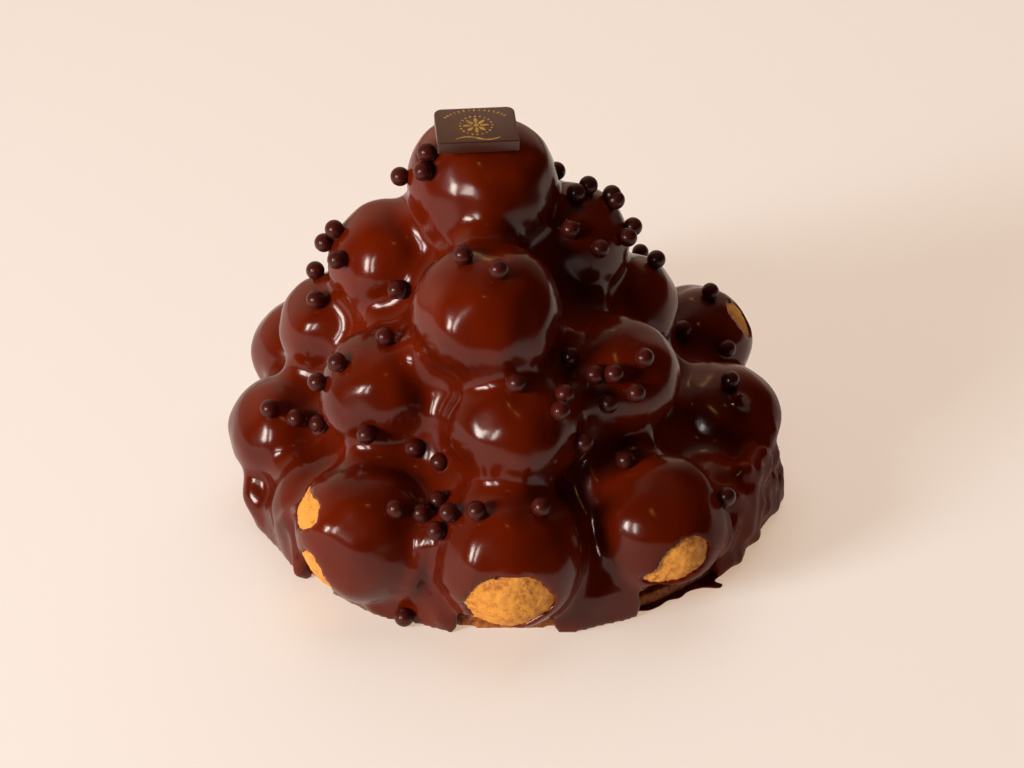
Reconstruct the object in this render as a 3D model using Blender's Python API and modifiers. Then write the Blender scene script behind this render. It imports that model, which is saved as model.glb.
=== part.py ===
"""A profiterole cake: coated choux buns heaped on a thin sponge disc, in poured dark chocolate.

The cake stands on the floor at z = 0 with its disc's axis on z and its front towards -y.
Lengths are metres. A heading is degrees round z from the front, positive towards +x, and a
lift is degrees above the horizontal.

Each profiterole is one solid out to the face of its coat. The chocolate that ran down and
gathered between them is another, with a seat for every profiterole that it holds.
"""

import math
import random
from collections import namedtuple

import bmesh
import bpy
from mathutils import Matrix, Vector

SEED = 11
GAP = 0.0003  # clearance between pieces that touch

DISC_RADIUS = 0.0745
DISC_HEIGHT = 0.0040
DISC_EDGE = 0.0008  # rounding of the disc's rims

COAT = 0.0021  # thickness of the chocolate on a bun
SKIRT_RADIUS = DISC_RADIUS + COAT
SKIRT_TOP = 0.0075  # the chocolate on the disc's margin
POOL_SPREAD = 0.0050  # how much wider a pool is than the gap that it fills
POOL_OVERHANG = 0.1  # how far it reaches past the skirt, and how tall it is, over its half-width
POOL_RISE = 1.25
HEART_FOOT = 0.064  # the chocolate behind the buns, a cone
HEART_HEAD = 0.010
HEART_TOP = 0.092
BELOW_FLOOR = 0.008  # extra depth that is cut off level with the floor

CLING = 0.0035  # the chocolate fills creases narrower than twice this
TUCK = 0.0011  # how far it ends below the face of a bun's coat
VOXEL = 0.0018
CLING_PASSES = 6
FLOW_PASSES = 8
POURED_TRIANGLES = 1080  # before the seats are cut

PEARL_RADIUS = 0.0026
PEARL_SINK = 0.0007  # depth of a pearl in the coat
PEARL_PITCH = 2.25 * PEARL_RADIUS  # spacing in a huddle
PEARL_CLOSENESS = (0.72, 0.86)  # least and most of that spacing
GOLDEN_ANGLE = math.radians(137.5)

# Faces round and down a ball.
PEARL_FACES = (5, 4)
BUN_FACES = (12, 7)
BARE_BUN_FACES = (16, 10)
POOL_FACES = (24, 14)
GROWN_BUN_FACES = (32, 20)
UNEVENNESS = 0.025  # most that a bun's width departs from round
SETTLE = 0.97  # height of a bun over its width

PLAQUE_SIZE = (0.0212, 0.0160, 0.0034)
PLAQUE_EDGE = 0.0006
PLAQUE_TURN = 5.5  # degrees round z
PLAQUE_LEAN = 8  # degrees towards the front
PLAQUE_SINK = 0.0009
PLAQUE_SHIFT = (-0.0022, -0.0038)  # along its face, from where that touches the bun

CHOCOLATE = (0.045, 0.011, 0.005)
CRUST = (0.72, 0.33, 0.075)
SPONGE = (0.55, 0.24, 0.07)
PLAQUE_BROWN = (0.050, 0.022, 0.014)

# Reach is the distance from the cake's axis and height that of the bun's centre; radius is
# that of the bare bun.
Bun = namedtuple("Bun", "name heading reach height radius")
FOOT_RING = (
    Bun("front_centre", -1, 0.0660, 0.0200, 0.0190),
    Bun("front_right", 35, 0.0670, 0.0200, 0.0172),
    Bun("right", 83, 0.0590, 0.0205, 0.0158),
    Bun("right_back", 123, 0.0665, 0.0210, 0.0150),
    Bun("back_right", 153, 0.0650, 0.0200, 0.0162),
    Bun("back", 182, 0.0640, 0.0200, 0.0160),
    Bun("back_left", 212, 0.0660, 0.0200, 0.0165),
    Bun("left_back", 243, 0.0680, 0.0200, 0.0145),
    Bun("left", 281, 0.0650, 0.0215, 0.0136),
    Bun("front_left", 327, 0.0680, 0.0200, 0.0172),
)
SECOND_RING = (
    Bun("second_front", 1, 0.0490, 0.0470, 0.0160),
    Bun("second_front_right", 43, 0.0400, 0.0495, 0.0152),
    Bun("second_right", 103, 0.0320, 0.0500, 0.0142),
    Bun("second_back_right", 155, 0.0420, 0.0460, 0.0150),
    Bun("second_back_left", 213, 0.0440, 0.0460, 0.0150),
    Bun("second_left", 267, 0.0490, 0.0460, 0.0138),
    Bun("second_front_left", 315, 0.0480, 0.0480, 0.0152),
)
CROWN = (
    Bun("third_front", -10, 0.0364, 0.0732, 0.0177),
    Bun("third_right", 104, 0.0170, 0.0725, 0.0148),
    Bun("third_back", 185, 0.0250, 0.0700, 0.0150),
    Bun("third_left", 270, 0.0330, 0.0695, 0.0150),
    Bun("top", -98, 0.0075, 0.0910, 0.0187),
)
BUNS = FOOT_RING + SECOND_RING + CROWN

# A patch where the coat missed and the crust shows: its bun, the direction that it faces,
# its width, height and turn.
Patch = namedtuple("Patch", "bun heading lift width height turn")
PATCHES = (
    Patch("front_centre", 0, -13, 0.0250, 0.0190, 0),
    Patch("front_right", 22, -8, 0.0185, 0.0130, 35),
    Patch("front_left", -62, 4, 0.0120, 0.0270, -12),
    Patch("right_back", 72, 32, 0.0130, 0.0090, 60),
)

PATCH_DEPTH = 0.6  # of its cutter, over the bun's radius

# A stretch of the disc's rim that the chocolate left bare: its heading and width.
BARE_RIMS = ((-1, 0.027), (37, 0.030))

# One pearl rolled down and stuck at the foot of the pool: its heading.
FALLEN_PEARL = -21

# Pearls lie in huddles: the bun, the direction from its centre, how many, and the spiral's turn.
Huddle = namedtuple("Huddle", "bun heading lift count spin", defaults=(1, 0))
HUDDLES = (
    Huddle("top", -57, 41, 2, 157),
    Huddle("top", -84, 11),
    Huddle("third_front", -57, 71),
    Huddle("third_front", 20, 63),
    Huddle("third_right", 85, 76, 4, 9),
    Huddle("third_right", 88, 48),
    Huddle("third_right", -3, 39),
    Huddle("third_right", 24, 21),
    Huddle("third_right", 83, 19, 2, 42),
    Huddle("third_left", -85, 18, 2, -56),
    Huddle("third_left", -50, 19),
    Huddle("third_left", 8, 4),
    Huddle("third_back", 170, 40, 3),
    Huddle("second_right", 87, 59),
    Huddle("second_left", -27, 55),
    Huddle("second_left", -121, 69),
    Huddle("second_front_left", 33, 83),
    Huddle("second_front_left", -61, 46),
    Huddle("second_front_left", -77, 18),
    Huddle("second_front_left", -11, -5),
    Huddle("second_front_left", 39, -21),
    Huddle("second_front", 5, 68),
    Huddle("second_front", 70, 44, 2, 61),
    Huddle("second_front", 69, -1),
    Huddle("second_front_right", -2, 36, 3, 45),
    Huddle("second_front_right", -6, 12),
    Huddle("second_front_right", -52, 40),
    Huddle("second_front_right", 34, 45),
    Huddle("second_back_left", 190, 45, 2),
    Huddle("second_back_right", 150, 30, 2),
    Huddle("left", -12, 52),
    Huddle("left", 23, 42, 2, 193),
    Huddle("front_left", 121, 56),
    Huddle("front_left", 55, 36, 3, -137),
    Huddle("front_centre", -67, 46, 3, 132),
    Huddle("front_centre", 53, 59),
    Huddle("front_right", -110, 64),
    Huddle("front_right", 93, 24),
    Huddle("right", 22, 71),
    Huddle("right_back", 56, 78),
    Huddle("right_back", -21, 39),
    Huddle("right_back", 25, 21),
    Huddle("back_left", 220, 35, 2),
    Huddle("back", 180, 35, 2),
    Huddle("back_right", 130, 45),
)


def clear_scene():
    for obj in list(bpy.data.objects):
        bpy.data.objects.remove(obj)


def new_collection(name, hidden=False):
    collection = bpy.data.collections.new(name)
    collection.hide_render = hidden
    bpy.context.scene.collection.children.link(collection)
    return collection


def new_material(name, colour, roughness):
    material = bpy.data.materials.new(name)
    material.use_nodes = True
    shader = material.node_tree.nodes["Principled BSDF"]
    shader.inputs["Base Color"].default_value = (*colour, 1)
    shader.inputs["Roughness"].default_value = roughness
    shader.inputs["Metallic"].default_value = 0
    material.diffuse_color = (*colour, 1)
    return material


def new_object(name, mesh, collection, material=None):
    obj = bpy.data.objects.new(name, mesh)
    collection.objects.link(obj)
    if material:
        mesh.materials.append(material)
    if collection.hide_render:
        obj.hide_render = True
        obj.display_type = "WIRE"
    return obj


def mesh_from(name, shape):
    mesh = bpy.data.meshes.new(name)
    shape.to_mesh(mesh)
    shape.free()
    return mesh


def direction(heading, lift=0):
    turn, rise = math.radians(heading), math.radians(lift)
    level = math.cos(rise)
    return Vector((math.sin(turn) * level, -math.cos(turn) * level, math.sin(rise)))


def place(heading, reach, height):
    return direction(heading) * reach + Vector((0, 0, height))


def centre_of(bun):
    return place(bun.heading, bun.reach, bun.height)


def bun_named(name):
    return next(bun for bun in BUNS if bun.name == name)


def widths_of(bun):
    """The bun's three half-widths over its radius: no two buns are alike."""
    draw = random.Random(f"{SEED} {bun.name}")
    across = 1 + draw.uniform(-UNEVENNESS, UNEVENNESS)
    deep = 1 + draw.uniform(-UNEVENNESS, UNEVENNESS)
    return Vector((across, deep, SETTLE))


def ball(name, centre, half_widths, faces, collection, material=None, facing=None):
    """An ellipsoid in world space. A facing turns its z axis to that direction."""
    shape = bmesh.new()
    bmesh.ops.create_uvsphere(shape, u_segments=faces[0], v_segments=faces[1], radius=1)
    turn = facing.to_matrix().to_4x4() if facing else Matrix.Identity(4)
    fit = Matrix.Translation(centre) @ turn @ Matrix.Diagonal((*half_widths, 1))
    bmesh.ops.transform(shape, matrix=fit, verts=shape.verts)
    return new_object(name, mesh_from(name, shape), collection, material)


def disc(name, radius, low, high, collection, material=None, top_radius=None, sides=44):
    shape = bmesh.new()
    top = radius if top_radius is None else top_radius
    bmesh.ops.create_cone(
        shape, cap_ends=True, segments=sides, radius1=radius, radius2=top, depth=high - low
    )
    bmesh.ops.translate(shape, vec=(0, 0, (low + high) / 2), verts=shape.verts)
    return new_object(name, mesh_from(name, shape), collection, material)


def slab(name, fit, size, collection, material=None):
    shape = bmesh.new()
    bmesh.ops.create_cube(shape, size=1)
    bmesh.ops.transform(shape, matrix=fit @ Matrix.Diagonal((*size, 1)), verts=shape.verts)
    return new_object(name, mesh_from(name, shape), collection, material)


def apply_modifiers(obj):
    graph = bpy.context.evaluated_depsgraph_get()
    mesh = bpy.data.meshes.new_from_object(obj.evaluated_get(graph))
    obj.modifiers.clear()
    obj.data = mesh


def combine(obj, operation, cutters, solver="EXACT"):
    """Applies one Boolean with a collection, then removes the collection and its objects."""
    if cutters.objects:
        boolean = obj.modifiers.new(operation.title(), "BOOLEAN")
        boolean.operation = operation
        boolean.operand_type = "COLLECTION"
        boolean.collection = cutters
        boolean.solver = solver
        if solver == "EXACT":
            boolean.material_mode = "TRANSFER"
        apply_modifiers(obj)
    for cutter in list(cutters.objects):
        bpy.data.objects.remove(cutter)
    bpy.data.collections.remove(cutters)


def cut_by_plane(obj, point, normal):
    """Cuts off what lies beyond the plane, and closes the cut."""
    shape = bmesh.new()
    shape.from_mesh(obj.data)
    cut = bmesh.ops.bisect_plane(
        shape, geom=shape.verts[:] + shape.edges[:] + shape.faces[:],
        plane_co=point, plane_no=normal, clear_outer=True,
    )
    rim = [item for item in cut["geom_cut"] if isinstance(item, bmesh.types.BMEdge)]
    if rim:
        bmesh.ops.contextual_create(shape, geom=rim)
    shape.to_mesh(obj.data)
    shape.free()


def keep_largest_body(obj):
    """Drops the loose scraps that a cut can leave."""
    shape = bmesh.new()
    shape.from_mesh(obj.data)
    left, bodies = set(shape.verts), []
    while left:
        stack, body = [left.pop()], []
        while stack:
            vert = stack.pop()
            body.append(vert)
            near = {edge.other_vert(vert) for edge in vert.link_edges} & left
            left -= near
            stack.extend(near)
        bodies.append(body)
    bodies.sort(key=len)
    for body in bodies[:-1]:
        bmesh.ops.delete(shape, geom=body, context="VERTS")
    shape.to_mesh(obj.data)
    shape.free()


def pearl_places(huddle, bun_object):
    """Where a huddle's pearls lie: a loose spiral about its direction, on the coat's face."""
    bun = bun_named(huddle.bun)
    centre = centre_of(bun)
    draw = random.Random(f"{SEED} {huddle}")
    facing = direction(huddle.heading, huddle.lift).to_track_quat("Z", "Y")
    for number in range(huddle.count):
        swing = math.radians(huddle.spin) + number * GOLDEN_ANGLE
        out = PEARL_PITCH * math.sqrt(number) * draw.uniform(*PEARL_CLOSENESS)
        offset = facing @ Vector((out * math.cos(swing), out * math.sin(swing), bun.radius))
        aim = offset.normalized()
        hit, point, _, _ = bun_object.ray_cast(centre, aim)
        if hit:
            yield point + aim * (PEARL_RADIUS - PEARL_SINK)


def clear_of_others(point, bun):
    """Whether a pearl there stays clear of every other profiterole and of the bare patches."""
    for other in BUNS:
        room = other.radius * (1 + UNEVENNESS) + COAT + PEARL_RADIUS + 2 * GAP
        if other is not bun and (point - centre_of(other)).length < room:
            return False
    for patch in PATCHES:
        if patch.bun == bun.name:
            middle = centre_of(bun) + direction(patch.heading, patch.lift) * (bun.radius + COAT)
            if (point - middle).length < max(patch.width, patch.height) / 2 + PEARL_RADIUS:
                return False
    return True


def cut_patches(obj, bun):
    """Takes the coat off the bun's bare patches, down to its crust."""
    crust = bpy.data.materials["Baked choux crust"]
    cutters = new_collection("Patches", hidden=True)
    for patch in PATCHES:
        if patch.bun != bun.name:
            continue
        facing = direction(patch.heading, patch.lift).to_track_quat("Z", "Y")
        facing = facing @ Matrix.Rotation(math.radians(patch.turn), 3, "Z").to_quaternion()
        middle = centre_of(bun) + direction(patch.heading, patch.lift) * (bun.radius + COAT)
        half = (patch.width / 2, patch.height / 2, bun.radius * PATCH_DEPTH)
        cutter = ball("Patch", middle, half, BARE_BUN_FACES, cutters, crust, facing)
        bare = new_collection("Bare bun", hidden=True)
        ball("Bare", centre_of(bun), widths_of(bun) * bun.radius, BARE_BUN_FACES, bare, crust)
        combine(cutter, "DIFFERENCE", bare)
    combine(obj, "DIFFERENCE", cutters)


def make_profiterole(bun, parts, chocolate):
    """A coated bun, flat where it stands on the disc or leans on a neighbour."""
    bared = any(patch.bun == bun.name for patch in PATCHES)
    faces = BARE_BUN_FACES if bared else BUN_FACES
    half_widths = widths_of(bun) * (bun.radius + COAT)
    obj = ball(f"profiterole_{bun.name}", centre_of(bun), half_widths, faces, parts, chocolate)
    if bun in FOOT_RING:
        cut_by_plane(obj, (0, 0, DISC_HEIGHT + GAP), (0, 0, -1))
    for other in BUNS:
        apart = centre_of(other) - centre_of(bun)
        mine, theirs = bun.radius + COAT, other.radius + COAT
        if other is bun or apart.length > (mine + theirs) * (1 + UNEVENNESS) + GAP:
            continue
        middle = (apart.length**2 + mine**2 - theirs**2) / (2 * apart.length) - GAP / 2
        normal = apart.normalized()
        cut_by_plane(obj, centre_of(bun) + normal * middle, normal)
    return obj


def add_pearls(profiteroles, seats, chocolate):
    """Fuses each profiterole's pearls to it, and adds their clearance to the seats."""
    lying = []
    for bun in BUNS:
        obj = profiteroles[bun.name]
        pearls = new_collection("Pearls", hidden=True)
        taken = []
        for huddle in (huddle for huddle in HUDDLES if huddle.bun == bun.name):
            for point in pearl_places(huddle, obj):
                crowded = any((point - other).length < 2 * PEARL_RADIUS + GAP for other in taken)
                if not crowded and clear_of_others(point, bun):
                    taken.append(point)
                    ball("Pearl", point, [PEARL_RADIUS] * 3, PEARL_FACES, pearls, chocolate)
        combine(obj, "UNION", pearls)
        lying += taken
    for point in lying:
        ball("Pearl seat", point, [PEARL_RADIUS + GAP] * 3, PEARL_FACES, seats)


def make_poured_chocolate(parts, seats, chocolate):
    """The chocolate between the buns and over the disc's rim: one body, its creases filled."""
    shapes = new_collection("Poured shapes", hidden=True)
    for bun in BUNS:
        half_widths = widths_of(bun) * (bun.radius + COAT) + CLING * Vector((1, 1, 1))
        ball("Bun", centre_of(bun), half_widths, GROWN_BUN_FACES, shapes)
    disc("Heart", HEART_FOOT, -BELOW_FLOOR, HEART_TOP, shapes, top_radius=HEART_HEAD)
    grown = CLING + TUCK
    disc("Skirt", SKIRT_RADIUS + grown, -BELOW_FLOOR - grown, SKIRT_TOP + grown, shapes)
    for bun, following in zip(FOOT_RING, FOOT_RING[1:] + FOOT_RING[:1]):
        make_pool(bun, following, shapes)
    obj = disc("poured_chocolate", HEART_FOOT / 2, -BELOW_FLOOR, DISC_HEIGHT, parts, chocolate)
    combine(obj, "UNION", shapes, "MANIFOLD")

    remesh = obj.modifiers.new("Remesh", "REMESH")
    remesh.mode = "VOXEL"
    remesh.voxel_size = VOXEL
    relax(obj, CLING_PASSES)
    shrink = obj.modifiers.new("Shrink back", "DISPLACE")
    shrink.mid_level = 0
    shrink.strength = -grown
    relax(obj, FLOW_PASSES)
    apply_modifiers(obj)
    thin = obj.modifiers.new("Thin", "DECIMATE")
    thin.ratio = POURED_TRIANGLES / (2 * len(obj.data.polygons))
    apply_modifiers(obj)

    for bun in BUNS:
        half_widths = widths_of(bun) * (bun.radius + COAT) + Vector((GAP, GAP, GAP))
        bared = any(patch.bun == bun.name for patch in PATCHES)
        faces = BARE_BUN_FACES if bared else BUN_FACES
        ball("Seat", centre_of(bun), half_widths, faces, seats)
    disc("Disc seat", DISC_RADIUS + GAP, -2 * BELOW_FLOOR, DISC_HEIGHT + GAP, seats)
    below = Matrix.Translation((0, 0, -BELOW_FLOOR))
    slab("Floor", below, (4 * DISC_RADIUS, 4 * DISC_RADIUS, 2 * BELOW_FLOOR), seats)
    for heading, width in BARE_RIMS:
        facing = direction(heading).to_track_quat("Z", "Y")
        half = (width / 2, SKIRT_TOP, SKIRT_TOP)
        ball("Rim", place(heading, SKIRT_RADIUS, 0), half, BUN_FACES, seats, facing=facing)
    combine(obj, "DIFFERENCE", seats, "MANIFOLD")
    fallen = new_collection("Fallen pearl", hidden=True)
    spot = place(FALLEN_PEARL, SKIRT_RADIUS + PEARL_RADIUS / 2, PEARL_RADIUS + GAP)
    ball("Pearl", spot, [PEARL_RADIUS] * 3, PEARL_FACES, fallen)
    combine(obj, "UNION", fallen)
    keep_largest_body(obj)


def relax(obj, passes):
    smooth = obj.modifiers.new("Relax", "SMOOTH")
    smooth.factor = 0.5
    smooth.iterations = passes


def make_pool(bun, following, shapes):
    """Chocolate that ran down between two neighbours on the disc and spread over its rim."""
    here, there = centre_of(bun), centre_of(following)
    gap = (here - there).length - bun.radius - following.radius - 2 * COAT
    radius = max(gap, 0) / 2 + POOL_SPREAD
    middle = (here + there) / 2
    middle.z = 0
    reach = SKIRT_RADIUS - radius * (1 - POOL_OVERHANG)
    centre = middle.normalized() * reach + Vector((0, 0, DISC_HEIGHT + radius / 2))
    half_widths = Vector((radius, radius, radius * POOL_RISE)) + (CLING + TUCK) * Vector((1, 1, 1))
    ball("Pool", centre, half_widths, POOL_FACES, shapes)


def make_plaque(parts, top_object, material):
    """A thin chocolate plaque lying on the top profiterole, pressed a little into its coat."""
    top = bun_named("top")
    width, depth, thick = PLAQUE_SIZE
    rise = (top.radius + COAT) * SETTLE + thick / 2 - PLAQUE_SINK
    turn = Matrix.Rotation(math.radians(PLAQUE_TURN), 4, "Z")
    lean = Matrix.Rotation(math.radians(PLAQUE_LEAN), 4, "X")
    fit = Matrix.Translation(centre_of(top)) @ turn @ lean @ Matrix.Translation((*PLAQUE_SHIFT, rise))
    obj = slab("chocolate_plaque", fit, (width, depth, thick), parts, material)
    bevel = obj.modifiers.new("Rounded edges", "BEVEL")
    bevel.width = PLAQUE_EDGE
    bevel.segments = 2
    seat = new_collection("Plaque seat", hidden=True)
    slab("Plaque seat", fit, (width + 2 * GAP, depth + 2 * GAP, thick + 2 * GAP), seat)
    combine(top_object, "DIFFERENCE", seat)
    return obj


def make_sponge_disc(parts, material):
    obj = disc("sponge_disc", DISC_RADIUS, 0, DISC_HEIGHT, parts, material)
    bevel = obj.modifiers.new("Rounded rims", "BEVEL")
    bevel.width = DISC_EDGE
    bevel.segments = 1
    return obj


def shade(obj, angle):
    obj.data.shade_smooth()
    obj.data.set_sharp_from_angle(angle=math.radians(angle))


def main():
    clear_scene()
    parts = new_collection("Profiterole cake")
    seats = new_collection("Seats", hidden=True)
    chocolate = new_material("Poured dark chocolate", CHOCOLATE, 0.18)
    new_material("Baked choux crust", CRUST, 0.75)
    sponge = new_material("Sponge", SPONGE, 0.85)
    brown = new_material("Tempered chocolate", PLAQUE_BROWN, 0.45)

    make_sponge_disc(parts, sponge)
    profiteroles = {bun.name: make_profiterole(bun, parts, chocolate) for bun in BUNS}
    add_pearls(profiteroles, seats, chocolate)
    for bun in BUNS:
        cut_patches(profiteroles[bun.name], bun)
    make_plaque(parts, profiteroles["top"], brown)
    make_poured_chocolate(parts, seats, chocolate)
    for obj in parts.objects:
        shade(obj, 35)


main()
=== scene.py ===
"""Dresses the profiterole cake: poured chocolate, pearls, baked choux, sponge and plaque.

Lengths are metres, z is up and the cake's front faces -y. A heading is degrees round z from
the front, positive towards +x, and a lift is degrees above the horizontal.
"""

import math
import random
from collections import namedtuple

import bmesh
import bpy
import numpy as np
from bpy.props import FloatProperty, FloatVectorProperty, PointerProperty
from mathutils import Matrix, Vector


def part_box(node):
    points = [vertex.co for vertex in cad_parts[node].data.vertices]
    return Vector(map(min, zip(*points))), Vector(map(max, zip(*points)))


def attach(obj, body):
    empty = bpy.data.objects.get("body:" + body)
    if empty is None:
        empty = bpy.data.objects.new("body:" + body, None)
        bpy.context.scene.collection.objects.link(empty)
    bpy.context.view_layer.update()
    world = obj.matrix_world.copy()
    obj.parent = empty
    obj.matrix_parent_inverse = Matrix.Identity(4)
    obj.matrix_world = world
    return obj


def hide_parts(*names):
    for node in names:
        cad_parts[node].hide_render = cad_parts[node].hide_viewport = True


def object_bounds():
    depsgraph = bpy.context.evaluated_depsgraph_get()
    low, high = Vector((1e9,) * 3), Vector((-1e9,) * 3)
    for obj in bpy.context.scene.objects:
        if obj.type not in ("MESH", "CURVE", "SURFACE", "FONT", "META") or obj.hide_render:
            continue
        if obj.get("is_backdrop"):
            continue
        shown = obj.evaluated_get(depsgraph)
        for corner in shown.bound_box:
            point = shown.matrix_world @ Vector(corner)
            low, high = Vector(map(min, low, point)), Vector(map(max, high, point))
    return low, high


bl_info = {
    "name": "Profiterole cake",
    "version": (1, 0, 0),
    "blender": (4, 5, 0),
    "location": "3D View > Sidebar > Cake",
    "description": "Pours, bakes and dresses a mound of profiteroles",
    "category": "Add Mesh",
}

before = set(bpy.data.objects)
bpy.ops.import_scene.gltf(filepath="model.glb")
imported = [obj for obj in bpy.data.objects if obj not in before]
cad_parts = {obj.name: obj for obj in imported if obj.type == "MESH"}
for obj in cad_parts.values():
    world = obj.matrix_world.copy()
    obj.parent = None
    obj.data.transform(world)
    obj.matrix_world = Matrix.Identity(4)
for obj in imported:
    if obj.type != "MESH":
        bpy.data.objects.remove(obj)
CAD_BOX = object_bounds()

MM = 0.001
BODY = "root"
BUN_NODES = sorted(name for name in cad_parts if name.startswith("profiterole_"))
DISC_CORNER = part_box("sponge_disc")[1]
DISC_RADIUS = DISC_CORNER.x
DISC_HEIGHT = DISC_CORNER.z

SEED = 11
FIT_ROUNDS = 12
FIT_TOLERANCE = 0.15 * MM

COAT = 2.1 * MM  # thickness of the chocolate on a bun
PATCH_DEPTH = 0.9 * MM
SKIRT_RADIUS = DISC_RADIUS + COAT
SKIRT_TOP = 7.5 * MM
BELOW_FLOOR = 8 * MM
HEART_FOOT = 64 * MM
HEART_HEAD = 10 * MM
HEART_TOP = 92 * MM
DEEP_CLING = 11 * MM  # wide gaps are filled too, but end well below the coats
DEEP_TUCK = 6.5 * MM
POOL_SPREAD = 5 * MM  # how much wider a pool is than the gap that it fills
POOL_OVERHANG = 0.1  # how far it reaches past the skirt, and how tall it is, over its half-width
POOL_RISE = 1.25
SWING_SIZE = 17 * MM  # breadth of the rises over a whole bun, and of those within one
RIPPLE_SIZE = 7 * MM
COAT_FACES = 0.78  # share of the coat's faces that is kept

CRUST_SWELLS = 5 * MM  # breadth of the crust's swells and of its wrinkles
CRUST_WRINKLES = 1.6 * MM

CRUMB_SIZE = 2.2 * MM
CRUMB_DEPTH = 0.5 * MM
SPONGE_GAP = 0.3 * MM  # between the disc and the chocolate round it

PLAQUE_CORNER = 2.2 * MM  # rounding of its two back corners, and of all its edges
PLAQUE_EDGE = 0.35 * MM
PLAQUE_SIDE = 3 * MM  # its sides are longer than this, and the edges of its corners shorter
GOLD_THICKNESS = 0.07 * MM
PETALS = 8
PETAL_REACH = 2.2 * MM
RING_DOTS = 20
RING_REACH = 4.2 * MM
ARC_DABS = 15
SWASH_DABS = 24

PEARL_SINK = 0.27  # of its radius
PEARL_PITCH = 2.25  # widest spacing in a huddle, of its radius
PEARL_CLOSENESS = (0.72, 0.86)  # least and most of that spacing
GOLDEN_ANGLE = math.radians(137.5)

# A patch that the chocolate missed: its bun, the direction that it faces, and its outline in
# millimetres, to the right and up as seen from outside.
Patch = namedtuple("Patch", "bun heading lift outline")
PATCHES = (
    Patch("front_centre", 3, -14, (
        (-11, -5.5), (-10, 4), (-6, 8.5), (0.5, 10), (6, 9), (9, 5.5), (11.5, -0.5), (8, -3),
        (2.5, -7), (-2.5, -11), (-7.5, -9.5),
    )),
    Patch("front_right", 19, 4, (
        (-9.5, -6.5), (-6.5, -1.5), (-3.5, 3.5), (0.5, 6), (4.5, 5.5), (7.5, 2.5), (7.5, -0.5),
        (5, -4), (0, -6.5), (-6, -7.5),
    )),
    Patch("front_left", -71, 28, (
        (-13, 1.5), (-3.5, 3.5), (2, 4.5), (5, 3), (6, 0.5), (4.5, -1.5), (1.5, -4), (-5, -4.5),
        (-13, -4),
    )),
    Patch("front_left", -52, -15, (
        (-12, 1), (-6.5, 1.5), (1, 6.3), (3.5, 3), (5.5, -3), (5, -9), (-2, -12), (-12, -8),
    )),
    Patch("right_back", 71, 36, ((-1, 6), (3, 5), (6, 1), (5, -4), (0, -6), (-3, -1), (-3, 3))),
)

# Chocolate that ran and set as it went: each step is heading, reach, height and half-width,
# the lengths in millimetres.
RUNS = {
    "ridge between front_left and front_centre": (
        (-16.5, 71.5, 30, 1.8), (-17, 75, 26, 1.7), (-18, 77, 20, 1.6), (-19.5, 77.3, 14, 1.9),
        (-20.5, 75.5, 9, 2.8),
    ),
    "curl at the foot of the ridge": (
        (-28, 76.5, 3, 1.8), (-26.5, 76, 8, 1.6), (-23, 75.5, 11.5, 1.6), (-19, 75.5, 12, 1.7),
        (-15.5, 75.8, 9.5, 1.8), (-13.5, 76, 4.5, 2.2),
    ),
    "fold over right": (
        (73, 66, 37, 1.6), (75, 68.2, 32, 1.8), (74, 69.5, 26, 1.8), (70, 69, 20, 2.2),
        (67, 70, 13, 3.0),
    ),
    "tongue beside front_right": (
        (46, 78, 22, 2.6), (45, 80.5, 16, 2.4), (43, 79, 11, 2.8), (44, 75, 5, 4.0),
    ),
    "curtain under left": ((-74, 74, 13, 4.0), (-70, 74.5, 8, 4.5), (-66, 73, 4, 5.0)),
    "lump before left": ((-60, 67, 10, 9.0), (-55, 66.5, 11, 10.0), (-50, 66, 8, 8.0)),
    "wrinkle on the lump": (
        (-47, 76.2, 22.7, 1.0), (-50, 75.8, 19.2, 1.0), (-52, 76.9, 16.4, 1.1),
        (-54, 77.4, 12.5, 1.2), (-57, 76.8, 8, 1.3),
    ),
    "drip beside front_left": (
        (-50, 76, 13, 1.3), (-48.5, 77, 9, 1.5), (-47.5, 77.6, 5, 1.8), (-47, 77.8, 2.2, 2.0),
    ),
    "bead under second_front": (
        (-15, 59.6, 36.2, 1.1), (-12, 61.8, 36.4, 1.1), (-9, 66.2, 38.4, 1.1),
        (-5, 68.1, 39.4, 1.0), (-2, 68.5, 40.2, 0.9),
    ),
    "bead under top": (
        (-44, 24.2, 85.4, 1.1), (-34, 24.5, 87.7, 1.1), (-24, 24.6, 89.7, 1.1),
        (-15, 23, 90.5, 1.0),
    ),
}

# Creases that the chocolate didn't fill, written the same way.
CREASES = {
    "crease between front_centre and front_right": (
        (18, 50, 45, 5.0), (16, 60, 38, 6.0), (16, 69, 31, 6.0), (16.5, 75, 23, 5.5),
        (17.5, 79, 15, 4.5),
    ),
    "run-off below it": (
        (9, 84, 14, 7.5), (13, 84, 14, 8.5), (17, 84, 14, 9.0), (21, 84, 14, 9.0),
        (25, 84, 14, 8.0),
    ),
    "crease between third_front, third_right and second_front_right": (
        (18, 26, 82, 4.0), (23, 34, 75, 5.0), (30, 39, 68, 5.0), (22, 46, 60, 4.0),
    ),
}

# Pearls that the chocolate covered lie as knobs on the skirt: from and to a heading, and how
# many.
COVERED = (45, 80)
COVERED_PEARLS = 80
COVERED_RISE = (1.5 * MM, 24 * MM)  # their least and greatest height
COVERED_LEAN = 0.14  # how far they step in as they rise

# A stretch of the disc's rim that the chocolate left bare: its heading, width and height.
BARE_RIMS = ((-1, 26 * MM, 7.5 * MM), (36.5, 27 * MM, 13 * MM), (-42.5, 9 * MM, 8 * MM))

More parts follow.
